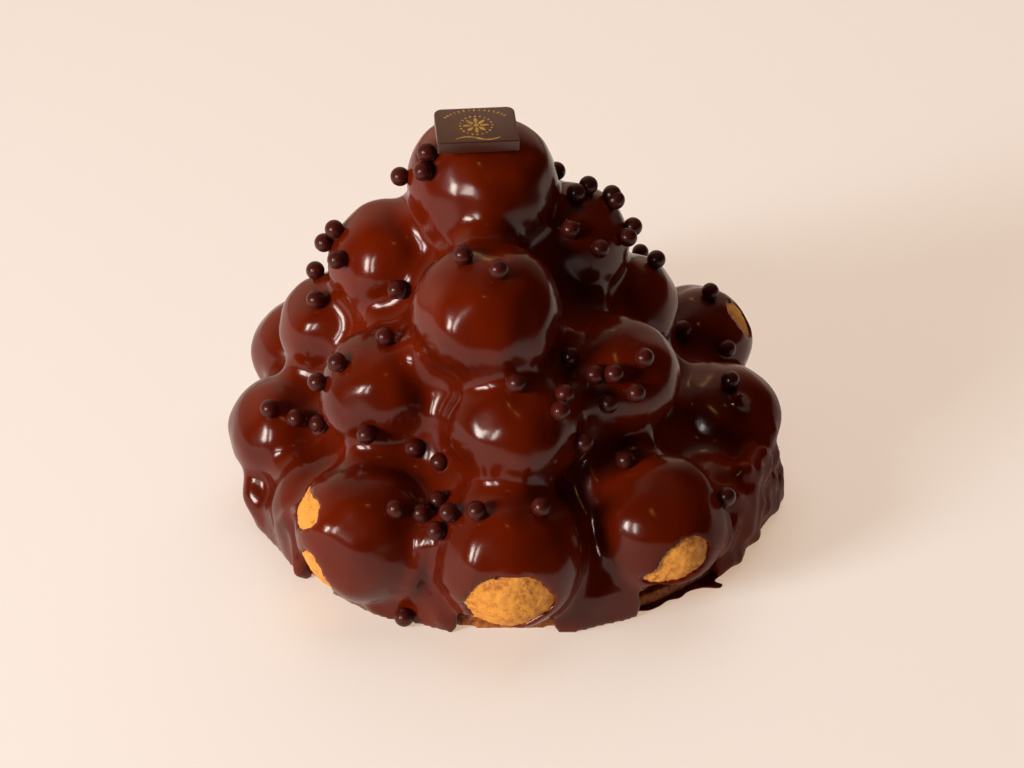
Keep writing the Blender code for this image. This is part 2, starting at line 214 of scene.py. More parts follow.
# The outline of the thin film of chocolate that ran out below the second of them: each point is
# a heading and a reach in millimetres.
FILM_OUTLINE = (
    (26, 73), (28, 75.6), (31, 76), (34, 75.3), (36.5, 76.2), (39, 75.6), (42, 76.8), (45.5, 80),
    (45.5, 77.5), (48, 76.5), (49, 73), (38, 71),
)
FILM_THICKNESS = 0.3 * MM

# One pearl rolled down and stuck at the foot of the pool: its heading.
FALLEN_PEARL = -21

# Pearls lie in huddles: the bun, the direction from its centre, how many, and the spiral's turn.
Huddle = namedtuple("Huddle", "bun heading lift count spin", defaults=(1, 0))
HUDDLES = (
    Huddle("top", -57, 41, 2, 157),
    Huddle("top", -84, 11),
    Huddle("third_front", -57, 71),
    Huddle("third_front", 20, 63),
    Huddle("third_right", 85, 76, 4, 9),
    Huddle("third_right", 88, 48),
    Huddle("third_right", -3, 39),
    Huddle("third_right", 24, 21),
    Huddle("third_right", 83, 19, 2, 42),
    Huddle("third_left", -85, 18, 2, -56),
    Huddle("third_left", -50, 19),
    Huddle("third_left", 8, 4),
    Huddle("third_back", 170, 40, 3),
    Huddle("second_right", 87, 59),
    Huddle("second_left", -27, 55),
    Huddle("second_left", -121, 69),
    Huddle("second_front_left", 33, 83),
    Huddle("second_front_left", -61, 46),
    Huddle("second_front_left", -77, 18),
    Huddle("second_front_left", -11, -5),
    Huddle("second_front_left", 39, -21),
    Huddle("second_front", 5, 68),
    Huddle("second_front", 70, 44, 2, 61),
    Huddle("second_front", 69, -1),
    Huddle("second_front_right", -2, 36, 3, 45),
    Huddle("second_front_right", -6, 12),
    Huddle("second_front_right", -52, 40),
    Huddle("second_front_right", 34, 45),
    Huddle("second_back_left", 190, 45, 2),
    Huddle("second_back_right", 150, 30, 2),
    Huddle("left", -12, 52),
    Huddle("left", 23, 42, 2, 193),
    Huddle("front_left", 121, 56),
    Huddle("front_left", 55, 36, 3, -137),
    Huddle("front_centre", -67, 46, 3, 132),
    Huddle("front_centre", 53, 59),
    Huddle("front_right", -110, 64),
    Huddle("front_right", 93, 24),
    Huddle("right", 22, 71),
    Huddle("right_back", 56, 78),
    Huddle("right_back", -21, 39),
    Huddle("right_back", 25, 21),
    Huddle("back_left", 220, 35, 2),
    Huddle("back", 180, 35, 2),
    Huddle("back_right", 130, 45),
)


def linear(code):
    """An sRGB hex colour as the linear values that Blender works in."""
    shares = [int(code[place:place + 2], 16) / 255 for place in (1, 3, 5)]
    return tuple(s / 12.92 if s <= 0.04045 else ((s + 0.055) / 1.055) ** 2.4 for s in shares)


class PouringSettings(bpy.types.PropertyGroup):
    cling: FloatProperty(
        name="Cling", description="The poured chocolate fills gaps narrower than twice this",
        default=3.4 * MM, min=0.5 * MM, unit="LENGTH",
    )
    crease: FloatProperty(
        name="Crease", description="Radius of the fillet where two coated buns meet",
        default=1.0 * MM, min=0.2 * MM, unit="LENGTH",
    )
    tuck: FloatProperty(
        name="Tuck", description="How far the filling ends below the face of a coat",
        default=1.0 * MM, min=0, unit="LENGTH",
    )
    unevenness: FloatProperty(
        name="Unevenness", description="Rise and fall of the coat over a whole bun",
        default=3.0 * MM, min=0, unit="LENGTH",
    )
    ripple: FloatProperty(
        name="Ripple", description="Rise and fall of the coat within a bun",
        default=0.45 * MM, min=0, unit="LENGTH",
    )
    voxel: FloatProperty(
        name="Grain of the mesh", description="Length of a face's side in the finished coat",
        default=0.9 * MM, min=0.5 * MM, unit="LENGTH",
    )
    colour: FloatVectorProperty(
        name="Colour", description="Colour of the poured dark chocolate", subtype="COLOR",
        size=3, default=linear("#581401"), min=0, max=1,
    )


class PearlSettings(bpy.types.PropertyGroup):
    radius: FloatProperty(
        name="Radius", description="Half the width of a pearl", default=2.6 * MM,
        min=0.5 * MM, unit="LENGTH",
    )
    colour: FloatVectorProperty(
        name="Colour", description="Colour of the pearls' chocolate", subtype="COLOR",
        size=3, default=linear("#42110A"), min=0, max=1,
    )


class CrustSettings(bpy.types.PropertyGroup):
    wrinkle: FloatProperty(
        name="Wrinkles", description="Height of the wrinkles of the baked crust",
        default=0.5 * MM, min=0, unit="LENGTH",
    )
    colour: FloatVectorProperty(
        name="Colour", description="Colour of the baked choux", subtype="COLOR",
        size=3, default=linear("#CE8930"), min=0, max=1,
    )


class StageSettings(bpy.types.PropertyGroup):
    floor: FloatVectorProperty(
        name="Floor", description="Colour of the floor", subtype="COLOR",
        size=3, default=linear("#AFB5BE"), min=0, max=1,
    )


# ---------------------------------------------------------------------------------------------
# Hand tools


def add_node(tree, kind, inputs=None, **settings):
    """Adds a node. An input is a value, or the socket of another node to link."""
    node = tree.nodes.new(kind)
    for name, value in settings.items():
        setattr(node, name, value)
    for key, value in (inputs or {}).items():
        if isinstance(value, bpy.types.NodeSocket):
            tree.links.new(value, node.inputs[key])
        else:
            node.inputs[key].default_value = value
    return node


def new_material(name):
    """A material with only its Principled shader: returns it, its tree and the shader."""
    material = bpy.data.materials.new(name)
    material.use_nodes = True
    tree = material.node_tree
    return material, tree, tree.nodes["Principled BSDF"]


def select_only(*objects):
    bpy.ops.object.select_all(action="DESELECT")
    for obj in objects:
        obj.select_set(True)
    bpy.context.view_layer.objects.active = objects[0]


def settle(obj):
    """Moves the object's place, turn and size into its mesh."""
    select_only(obj)
    bpy.ops.object.transform_apply(location=True, rotation=True, scale=True)


def join(objects, name):
    select_only(*objects)
    if len(objects) > 1:
        bpy.ops.object.join()
    joined = bpy.context.view_layer.objects.active
    joined.name = name
    return joined


def modify(obj, kind, **settings):
    """Adds a modifier and applies it."""
    select_only(obj)
    modifier = obj.modifiers.new(kind.title(), kind)
    for name, value in settings.items():
        setattr(modifier, name, value)
    bpy.ops.object.modifier_apply(modifier=modifier.name)


def relax(obj, passes):
    modify(obj, "SMOOTH", factor=0.5, iterations=passes)


def swell(obj, distance):
    modify(obj, "DISPLACE", mid_level=0, strength=distance)


def roughen(obj, kind, size, height, **settings):
    """Raises and lowers the surface by a solid noise of that size, and height from low to high."""
    texture = bpy.data.textures.new("Relief", kind)
    texture.noise_scale = size
    for name, value in settings.items():
        setattr(texture, name, value)
    modify(
        obj, "DISPLACE", mid_level=0.5, strength=height, texture=texture,
        texture_coords="GLOBAL",
    )
    bpy.data.textures.remove(texture)


def swing(obj):
    """The rise and fall over a whole bun, which a coat and the crust below it share."""
    height = bpy.context.scene.cake_pouring.unevenness
    roughen(obj, "CLOUDS", SWING_SIZE, height, noise_depth=1)


def cut(obj, cutters):
    """Takes the cutters away from the object, and removes them."""
    collection = bpy.data.collections.new("Cutters")
    bpy.context.scene.collection.children.link(collection)
    for cutter in cutters:
        collection.objects.link(cutter)
    modify(obj, "BOOLEAN", operation="DIFFERENCE", operand_type="COLLECTION",
           collection=collection, solver="MANIFOLD")
    for cutter in cutters:
        bpy.data.objects.remove(cutter)
    bpy.data.collections.remove(collection)


def direction(heading, lift=0):
    turn, rise = math.radians(heading), math.radians(lift)
    level = math.cos(rise)
    return Vector((math.sin(turn) * level, -math.cos(turn) * level, math.sin(rise)))


def facing(heading, lift=0):
    """The turn that brings z to a direction, with x to the right as seen from outside."""
    return direction(heading, lift).to_track_quat("Z", "Y")


def add_ball(centre, half_widths, segments, rings, turn=None):
    bpy.ops.object.select_all(action="DESELECT")
    bpy.ops.mesh.primitive_uv_sphere_add(
        segments=segments, ring_count=rings, radius=1, location=centre,
        rotation=turn.to_euler() if turn else (0, 0, 0), scale=half_widths,
    )
    ball = bpy.context.view_layer.objects.active
    settle(ball)
    return ball


def add_drum(radius, low, high, sides, top_radius=None):
    bpy.ops.object.select_all(action="DESELECT")
    bpy.ops.mesh.primitive_cone_add(
        vertices=sides, radius1=radius, radius2=radius if top_radius is None else top_radius,
        depth=high - low, location=(0, 0, (low + high) / 2),
    )
    drum = bpy.context.view_layer.objects.active
    settle(drum)
    return drum


def finish_piece(obj, material, slot, *nodes):
    """Shades the piece smooth, gives it its material, and puts it in place of its CAD nodes."""
    select_only(obj)
    bpy.ops.object.shade_smooth()
    obj.data.materials.clear()
    obj.data.materials.append(material)
    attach(obj, BODY)
    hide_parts(*nodes)


# ---------------------------------------------------------------------------------------------
# The buns of the frame

Bun = namedtuple("Bun", "name node centre half_widths")


def bun_in(node):
    """The coated bun that a solid was cut from, as an ellipsoid.

    It is fitted to the solid's corners by area, and lets go of those on its cuts and pearls.
    """
    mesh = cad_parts[node].data
    mesh.calc_loop_triangles()
    places = np.array([vert.co for vert in mesh.vertices])
    corners = np.array([tri.vertices for tri in mesh.loop_triangles]).ravel()
    area = np.repeat([tri.area for tri in mesh.loop_triangles], 3)
    middle = places.mean(0)
    points = (places[corners] - middle) / MM
    terms = np.hstack([points**2, points])
    weight = area.copy()
    for _ in range(FIT_ROUNDS):
        root = np.sqrt(weight)
        found = np.linalg.lstsq(terms * root[:, None], root, rcond=None)[0]
        square, slope = found[:3], found[3:]
        centre = -slope / (2 * square)
        half = np.sqrt((1 + (square * centre**2).sum()) / square)
        off = (np.linalg.norm((points - centre) / half, axis=1) - 1) * half.mean()
        weight = area / (1 + (off * MM / FIT_TOLERANCE) ** 2)
    return Bun(
        node.removeprefix("profiterole_"), node, Vector(centre * MM + middle), Vector(half * MM)
    )


BUNS = {bun.name: bun for bun in map(bun_in, BUN_NODES)}


def standing_buns():
    """The buns on the disc, in order round it."""
    standing = [bun for bun in BUNS.values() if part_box(bun.node)[0].z < 2 * DISC_HEIGHT]
    return sorted(standing, key=lambda bun: math.atan2(bun.centre.y, bun.centre.x))


# ---------------------------------------------------------------------------------------------
# Materials

FLOOR_HEART = Vector((-0.15, 0.2, 0))  # the floor is pale round here and fades to painted shade further out, which the gloss mirrors, but the eye sees a pale floor go on
FLOOR_PAINTED_FADE_REACH = (0.46, 0.9)  # and ends dark, which the gloss mirrors,
FAR_REACH = (0.46, 0.62)  # but the eye sees a pale floor go on

PAINTED_SHADE_SIDE = direction(64)  # painted shade: on this side the chocolate's coat is thinned, so its gloss mirrors less light
PAINTED_SHADE_FROM = 58 * MM
PAINTED_SHADE_WIDTH = 14 * MM


def poured_chocolate():
    """Melted dark chocolate that set where it ran: glossy, deep brown with a red glow."""
    colour = bpy.context.scene.cake_pouring.colour
    material, tree, shader = new_material("Poured dark chocolate")
    place = add_node(tree, "ShaderNodeTexCoord").outputs["Object"]
    drift = add_node(
        tree, "ShaderNodeTexNoise", {"Vector": place, "Scale": 1 / (22 * MM), "Detail": 2.0},
    )
    tone = add_node(tree, "ShaderNodeValToRGB", {"Fac": drift.outputs["Fac"]})
    tone.color_ramp.elements[0].position = 0.35
    tone.color_ramp.elements[0].color = (*(0.75 * c for c in colour), 1)
    tone.color_ramp.elements[1].position = 0.65
    tone.color_ramp.elements[1].color = (*(1.2 * c for c in colour), 1)
    tree.links.new(tone.outputs["Color"], shader.inputs["Base Color"])
    shader.inputs["Roughness"].default_value = 0.4
    shader.inputs["Specular IOR Level"].default_value = 0
    # painted shade: the gloss of the coat fades away on one side, so that side mirrors less light
    aside = add_node(
        tree, "ShaderNodeVectorMath", {0: place, 1: PAINTED_SHADE_SIDE}, operation="DOT_PRODUCT"
    )
    painted_shade_coat = add_node(tree, "ShaderNodeMapRange", {
        "Value": aside.outputs["Value"], "From Min": PAINTED_SHADE_FROM, "From Max": PAINTED_SHADE_FROM + PAINTED_SHADE_WIDTH,
        "To Min": 0.8, "To Max": 0.3,
    }, interpolation_type="SMOOTHSTEP")
    tree.links.new(painted_shade_coat.outputs["Result"], shader.inputs["Coat Weight"])
    shader.inputs["Coat Roughness"].default_value = 0.17
    shader.inputs["Coat IOR"].default_value = 1.46
    ripple = add_node(
        tree, "ShaderNodeTexNoise", {"Vector": place, "Scale": 1 / (3.5 * MM), "Detail": 2.0},
    )
    bump = add_node(
        tree, "ShaderNodeBump",
        {"Height": ripple.outputs["Fac"], "Distance": 0.1 * MM, "Strength": 0.35},
    )
    tree.links.new(bump.outputs["Normal"], shader.inputs["Normal"])
    tree.links.new(bump.outputs["Normal"], shader.inputs["Coat Normal"])
    return material


def thin_chocolate():
    """A film of dark chocolate on a pale plate, thin enough to look redder."""
    material, _, shader = new_material("Thin dark chocolate")
    shader.inputs["Base Color"].default_value = (*linear("#7A1E0C"), 1)
    shader.inputs["Roughness"].default_value = 0.4
    shader.inputs["Specular IOR Level"].default_value = 0.3
    return material


def pearl_chocolate():
    """Polished dark chocolate over a crisp ball: satin, darker than the pour."""
    colour = bpy.context.scene.cake_pearls.colour
    material, tree, shader = new_material("Polished chocolate pearls")
    place = add_node(tree, "ShaderNodeTexCoord").outputs["Object"]
    drift = add_node(
        tree, "ShaderNodeTexNoise", {"Vector": place, "Scale": 1 / (6 * MM), "Detail": 2.0},
    )
    tone = add_node(tree, "ShaderNodeValToRGB", {"Fac": drift.outputs["Fac"]})
    tone.color_ramp.elements[0].color = (*(0.7 * c for c in colour), 1)
    tone.color_ramp.elements[1].color = (*(1.3 * c for c in colour), 1)
    tree.links.new(tone.outputs["Color"], shader.inputs["Base Color"])
    shader.inputs["Roughness"].default_value = 0.4
    shader.inputs["Specular IOR Level"].default_value = 0.12
    shader.inputs["Coat Weight"].default_value = 0.35
    shader.inputs["Coat Roughness"].default_value = 0.16
    return material


def baked_choux():
    """Choux baked golden: matt, with browner ridges and paler hollows between its wrinkles."""
    colour = bpy.context.scene.cake_crust.colour
    material, tree, shader = new_material("Baked choux crust")
    place = add_node(tree, "ShaderNodeTexCoord").outputs["Object"]
    bake = add_node(
        tree, "ShaderNodeTexNoise", {"Vector": place, "Scale": 1 / (5 * MM), "Detail": 6.0},
    )
    wrinkles = add_node(
        tree, "ShaderNodeTexNoise",
        {"Vector": place, "Scale": 1 / (1.5 * MM), "Detail": 3.0, "Distortion": 1.5},
    )
    both = add_node(
        tree, "ShaderNodeMath", {0: bake.outputs["Fac"], 1: wrinkles.outputs["Fac"]},
        operation="ADD",
    )
    tone = add_node(tree, "ShaderNodeValToRGB", {"Fac": both.outputs["Value"]})
    tone.color_ramp.elements[0].position = 0.78
    tone.color_ramp.elements[0].color = (0.7 * colour[0], 0.5 * colour[1], 0.4 * colour[2], 1)
    tone.color_ramp.elements[1].position = 1.0
    tone.color_ramp.elements[1].color = (*(1.1 * c for c in colour), 1)
    tree.links.new(tone.outputs["Color"], shader.inputs["Base Color"])
    shader.inputs["Roughness"].default_value = 0.7
    grain = add_node(
        tree, "ShaderNodeTexNoise", {"Vector": place, "Scale": 1 / (0.8 * MM), "Detail": 3.0},
    )
    bump = add_node(
        tree, "ShaderNodeBump",
        {"Height": grain.outputs["Fac"], "Distance": 0.2 * MM, "Strength": 0.6},
    )
    tree.links.new(bump.outputs["Normal"], shader.inputs["Normal"])
    return material


def soaked_sponge():
    """Cut sponge with an open crumb, browned on its rim and damp from the chocolate."""
    material, tree, shader = new_material("Sponge crumb")
    place = add_node(tree, "ShaderNodeTexCoord").outputs["Object"]
    crumb = add_node(
        tree, "ShaderNodeTexNoise", {"Vector": place, "Scale": 1 / (1.6 * MM), "Detail": 5.0},
    )
    tone = add_node(tree, "ShaderNodeValToRGB", {"Fac": crumb.outputs["Fac"]})
    tone.color_ramp.elements[0].position = 0.35
    tone.color_ramp.elements[0].color = (*linear("#5F2A0A"), 1)
    tone.color_ramp.elements[1].position = 0.68
    tone.color_ramp.elements[1].color = (*linear("#B3661F"), 1)
    tree.links.new(tone.outputs["Color"], shader.inputs["Base Color"])
    shader.inputs["Roughness"].default_value = 0.85
    return material


def tempered_chocolate():
    """Moulded, tempered chocolate: satin, with a faint grey bloom."""
    material, tree, shader = new_material("Tempered chocolate")
    place = add_node(tree, "ShaderNodeTexCoord").outputs["Object"]
    bloom = add_node(
        tree, "ShaderNodeTexNoise", {"Vector": place, "Scale": 1 / (4 * MM), "Detail": 4.0},
    )
    tone = add_node(tree, "ShaderNodeValToRGB", {"Fac": bloom.outputs["Fac"]})
    tone.color_ramp.elements[0].color = (*linear("#38150A"), 1)
    tone.color_ramp.elements[1].color = (*linear("#482012"), 1)
    tree.links.new(tone.outputs["Color"], shader.inputs["Base Color"])
    shader.inputs["Roughness"].default_value = 0.32
    shader.inputs["Specular IOR Level"].default_value = 0.7
    return material


def gold_leaf():
    """Dull gold printed on chocolate."""
    material, tree, shader = new_material("Printed gold")
    place = add_node(tree, "ShaderNodeTexCoord").outputs["Object"]
    wear = add_node(
        tree, "ShaderNodeTexNoise", {"Vector": place, "Scale": 1 / (1.5 * MM), "Detail": 3.0},
    )
    tone = add_node(tree, "ShaderNodeValToRGB", {"Fac": wear.outputs["Fac"]})
    tone.color_ramp.elements[0].position = 0.35
    tone.color_ramp.elements[0].color = (*linear("#9A6A2C"), 1)
    tone.color_ramp.elements[1].position = 0.65
    tone.color_ramp.elements[1].color = (*linear("#D2A348"), 1)
    tree.links.new(tone.outputs["Color"], shader.inputs["Base Color"])
    shader.inputs["Metallic"].default_value = 0.35
    shader.inputs["Roughness"].default_value = 0.5
    return material


def floor_with_painted_glow_and_shade():
    """A plain pale table top, matt, with painted light: it glows a little, a painted glow that
    evens out its lighting, and fades to painted shade further out.
    """
    colour = bpy.context.scene.cake_stage.floor
    material, tree, shader = new_material("Pale floor, painted glow and shade")
    place = add_node(tree, "ShaderNodeTexCoord").outputs["Object"]
    away = add_node(tree, "ShaderNodeVectorMath", {0: place, 1: FLOOR_HEART}, operation="DISTANCE")
    painted_glow_and_shade_fade = add_node(tree, "ShaderNodeMapRange", {
        "Value": away.outputs["Value"], "From Min": FLOOR_PAINTED_FADE_REACH[0], "From Max": FLOOR_PAINTED_FADE_REACH[1],
        "To Min": 1.0, "To Max": 0.0,
    }, interpolation_type="SMOOTHSTEP").outputs["Result"]
    # painted shade: the floor's colour darkens to a tenth of itself from its pale middle outwards
    tone = add_node(tree, "ShaderNodeValToRGB", {"Fac": painted_glow_and_shade_fade})
    tone.color_ramp.elements[0].color = (*(0.1 * c for c in colour), 1)
    tone.color_ramp.elements[1].color = (*colour, 1)
    tree.links.new(tone.outputs["Color"], shader.inputs["Base Color"])
    shader.inputs["Roughness"].default_value = 0.8
    # painted light: the floor glows, strongest in its pale middle, though it is no lamp
    shader.inputs["Emission Color"].default_value = (*linear("#EFCEB0"), 1)
    glow = add_node(tree, "ShaderNodeMath", {0: painted_glow_and_shade_fade, 1: 0.6}, operation="MULTIPLY")
    tree.links.new(glow.outputs["Value"], shader.inputs["Emission Strength"])
    return material


def far_floor():
    """The pale floor further out: it starts clear and closes over the dark end."""
    material, tree, shader = new_material("Pale floor further out")
    place = add_node(tree, "ShaderNodeTexCoord").outputs["Object"]
    away = add_node(tree, "ShaderNodeVectorMath", {0: place, 1: FLOOR_HEART}, operation="DISTANCE")
    cover = add_node(tree, "ShaderNodeMapRange", {
        "Value": away.outputs["Value"], "From Min": FAR_REACH[0], "From Max": FAR_REACH[1],
        "To Min": 0.0, "To Max": 1.0,
    }, interpolation_type="SMOOTHSTEP")
    tree.links.new(cover.outputs["Result"], shader.inputs["Alpha"])
    shader.inputs["Base Color"].default_value = (0, 0, 0, 1)
    shader.inputs["Specular IOR Level"].default_value = 0
    shader.inputs["Emission Color"].default_value = (*linear("#E9D6C4"), 1)
    shader.inputs["Emission Strength"].default_value = 1
    return material


# ---------------------------------------------------------------------------------------------
# Poured chocolate


def add_pool(bun, following, grown):
    """Chocolate that ran down between two neighbours and spread over the disc's rim."""
    gap = (bun.centre - following.centre).length - bun.half_widths.x - following.half_widths.x
    radius = max(gap, 0) / 2 + POOL_SPREAD
    out = ((bun.centre + following.centre) / 2).xy.to_3d().normalized()
    centre = out * (SKIRT_RADIUS - radius * (1 - POOL_OVERHANG))
    centre.z = DISC_HEIGHT + radius / 2
    half_widths = Vector((radius, radius, radius * POOL_RISE)) + grown * Vector((1, 1, 1))
    return add_ball(centre, half_widths, 32, 20)


def close_gaps(inner, cling, tuck, left, voxel):
    """Swells the buns by cling to close their gaps, then draws the whole back.

    It ends tuck below where it closed, swollen by what is left for the next closing.
    """
    bulk = [
        add_ball(bun.centre, bun.half_widths + cling * Vector((1, 1, 1)), 48, 30)
        for bun in BUNS.values()
    ]
    fill = join(bulk + inner, "Filling")
    modify(fill, "REMESH", mode="VOXEL", voxel_size=voxel)
    relax(fill, 8)
    swell(fill, left - cling - tuck)
    relax(fill, 12)
    return fill


def fill_between_buns(settings):
    """The chocolate that gathered between the buns: their gaps closed, then drawn back."""
    grown = settings.cling + settings.tuck
    core = close_gaps([], DEEP_CLING, DEEP_TUCK, grown, 1.6 * MM)
    bulk = [core]
    bulk.append(add_drum(HEART_FOOT, -BELOW_FLOOR, HEART_TOP, 96, top_radius=HEART_HEAD))
    bulk.append(add_drum(SKIRT_RADIUS + grown, -BELOW_FLOOR - grown, SKIRT_TOP + grown, 128))
    ring = standing_buns()
    for bun, following in zip(ring, ring[1:] + ring[:1]):
        bulk.append(add_pool(bun, following, grown))
    return close_gaps(bulk, settings.cling, settings.tuck, settings.crease, 1.3 * MM)


def patch_cutter(patch):
    """A plug in the outline of a patch, through the coat of its bun."""
    bun = BUNS[patch.bun]
    curve = bpy.data.curves.new("Patch", "CURVE")
    curve.dimensions = "2D"
    curve.fill_mode = "BOTH"
    curve.extrude = 6 * MM
    spline = curve.splines.new("BEZIER")
    spline.bezier_points.add(len(patch.outline) - 1)
    spline.use_cyclic_u = True
    for point, (right, up) in zip(spline.bezier_points, patch.outline):
        point.co = (right * MM, up * MM, 0)
        point.handle_left_type = "AUTO"
        point.handle_right_type = "AUTO"
    plug = bpy.data.objects.new("Patch", curve)
    bpy.context.scene.collection.objects.link(plug)
    out = direction(patch.heading, patch.lift)
    reach = 1 / Vector(a / b for a, b in zip(out, bun.half_widths)).length
    plug.location = bun.centre + out * reach
    plug.rotation_mode = "QUATERNION"
    plug.rotation_quaternion = facing(patch.heading, patch.lift)
    select_only(plug)
    bpy.ops.object.convert(target="MESH")
    settle(plug)
    modify(plug, "WELD", merge_threshold=0.01 * MM)
    select_only(plug)
    bpy.ops.object.mode_set(mode="EDIT")
    bpy.ops.mesh.select_all(action="SELECT")
    bpy.ops.mesh.normals_make_consistent(inside=False)
    bpy.ops.object.mode_set(mode="OBJECT")
    return plug


def add_slab(low, high):
    bpy.ops.object.select_all(action="DESELECT")
    bpy.ops.mesh.primitive_cube_add(size=1, location=(low + high) / 2, scale=high - low)
    slab = bpy.context.view_layer.objects.active
    settle(slab)
    return slab


def rim_cutter(heading, width, height):
    """A rough block that bares a stretch of the disc's rim."""
    half = Vector((width / 2, height, 6 * MM))
    block = add_slab(-half, half)
    modify(block, "REMESH", mode="VOXEL", voxel_size=2 * MM)
    relax(block, 3)
    roughen(block, "CLOUDS", 6 * MM, 3 * MM, noise_depth=1)
    block.rotation_mode = "QUATERNION"
    block.rotation_quaternion = facing(heading)
    block.location = direction(heading) * (SKIRT_RADIUS + 1 * MM)
    settle(block)
    return block


def add_run(steps, grown):
    """A run of chocolate: balls strung closely along the steps, to be fused by the next remesh."""
    beads = []
    for here, there in zip(steps, steps[1:]):
        start, end = (
            direction(heading) * reach + Vector((0, 0, height))
            for heading, reach, height, _ in (here, there)
        )
        count = max(2, round((end - start).length / min(here[3], there[3]) * 2.5))
        for number in range(count + 1):
            share = number / count
            half = (here[3] * (1 - share) + there[3] * share) * MM + grown
            beads.append(add_ball(start.lerp(end, share) * MM, (half, half, half), 20, 12))
    return beads


def fuse(beads):
    run = join(beads, "Run")
    modify(run, "REMESH", mode="VOXEL", voxel_size=0.8 * MM)
    return run


def covered_pearls(grown):
    """Pearls on the skirt that the chocolate ran over."""
    draw = random.Random(f"{SEED} covered")
    radius = bpy.context.scene.cake_pearls.radius
    knobs = []
    for _ in range(COVERED_PEARLS):
        height = draw.uniform(*COVERED_RISE)
        reach = SKIRT_RADIUS - draw.uniform(-0.8, 0.6) * MM - height * COVERED_LEAN
        centre = direction(draw.uniform(*COVERED)) * reach + Vector((0, 0, height))
        half = radius * draw.uniform(0.9, 1.15) + grown
        knobs.append(add_ball(centre, (half, half, half), 20, 12))
    return knobs


class CAKE_OT_pour(bpy.types.Operator):
    """Pour the chocolate over the buns and the disc's rim"""

    bl_idname = "cake.pour"
    bl_label = "Pour the chocolate"

    def execute(self, context):
        settings = context.scene.cake_pouring
        fill = fill_between_buns(settings)
        for steps in CREASES.values():
            cut(fill, [fuse(add_run(steps, -settings.crease))])
        parts = [fill]
        parts += [
            add_ball(bun.centre, bun.half_widths + settings.crease * Vector((1, 1, 1)), 64, 40)
            for bun in BUNS.values()
        ]
        for steps in RUNS.values():
            parts += add_run(steps, settings.crease)
        parts += covered_pearls(settings.crease)
        coat = join(parts, "chocolate_coat")
        modify(coat, "REMESH", mode="VOXEL", voxel_size=settings.voxel)
        relax(coat, 4)
        swell(coat, -settings.crease)
        relax(coat, 3)
        swing(coat)
        roughen(coat, "CLOUDS", RIPPLE_SIZE, settings.ripple, noise_depth=0)
        cutters = [patch_cutter(patch) for patch in PATCHES]
        cutters.append(add_drum(DISC_RADIUS - 0.1 * MM, -3 * BELOW_FLOOR, DISC_HEIGHT, 128))
        wide = 3 * DISC_RADIUS
        cutters.append(add_slab(Vector((-wide, -wide, -4 * BELOW_FLOOR)), Vector((wide, wide, 0))))
        cutters += [rim_cutter(*rim) for rim in BARE_RIMS]
        cut(coat, cutters)
        modify(coat, "REMESH", mode="VOXEL", voxel_size=settings.voxel)
        relax(coat, 2)
        # Those that go come from its flat underside first.
        modify(coat, "DECIMATE", ratio=COAT_FACES)
        finish_piece(coat, poured_chocolate(), "dark_chocolate", "poured_chocolate", *BUN_NODES)
        return {"FINISHED"}


class CAKE_OT_film(bpy.types.Operator):
    """Let a thin film of chocolate run out on the plate below the bare rim"""

    bl_idname = "cake.film"
    bl_label = "Run the film"

    def execute(self, context):
        curve = bpy.data.curves.new("chocolate_film", "CURVE")
        curve.dimensions = "2D"
        curve.fill_mode = "BOTH"
        curve.extrude = FILM_THICKNESS / 2
        spline = curve.splines.new("BEZIER")
        spline.bezier_points.add(len(FILM_OUTLINE) - 1)
        spline.use_cyclic_u = True
        for point, (heading, reach) in zip(spline.bezier_points, FILM_OUTLINE):
            point.co = direction(heading) * reach * MM
            point.handle_left_type = "AUTO"
            point.handle_right_type = "AUTO"
        film = bpy.data.objects.new("chocolate_film", curve)
        context.scene.collection.objects.link(film)
        film.location.z = FILM_THICKNESS / 2
        select_only(film)
        bpy.ops.object.convert(target="MESH")
        settle(film)
        modify(film, "WELD", merge_threshold=0.01 * MM)
        finish_piece(film, thin_chocolate(), "dark_chocolate", "poured_chocolate")
        return {"FINISHED"}


class CAKE_OT_bake(bpy.types.Operator):
    """Bake the buns whose crust shows where the chocolate missed"""

    bl_idname = "cake.bake"
    bl_label = "Bake the bare buns"

    def execute(self, context):
        settings = context.scene.cake_crust
        material = baked_choux()
        for name in sorted({patch.bun for patch in PATCHES}):
            bun = BUNS[name]
            bpy.ops.object.select_all(action="DESELECT")
            bpy.ops.mesh.primitive_ico_sphere_add(
                subdivisions=6, radius=1, location=bun.centre,
                scale=bun.half_widths - PATCH_DEPTH * Vector((1, 1, 1)),
            )
            crust = bpy.context.view_layer.objects.active
            crust.name = f"choux_{bun.name}"
            settle(crust)
            cut(crust, [rim_cutter(*rim) for rim in BARE_RIMS])
            swing(crust)
            roughen(crust, "CLOUDS", CRUST_SWELLS, 0.7 * settings.wrinkle, noise_depth=1)
            roughen(
                crust, "MARBLE", CRUST_WRINKLES, 0.75 * settings.wrinkle,
                turbulence=14, noise_depth=1,
            )
            finish_piece(crust, material, "sponge", bun.node)
        return {"FINISHED"}


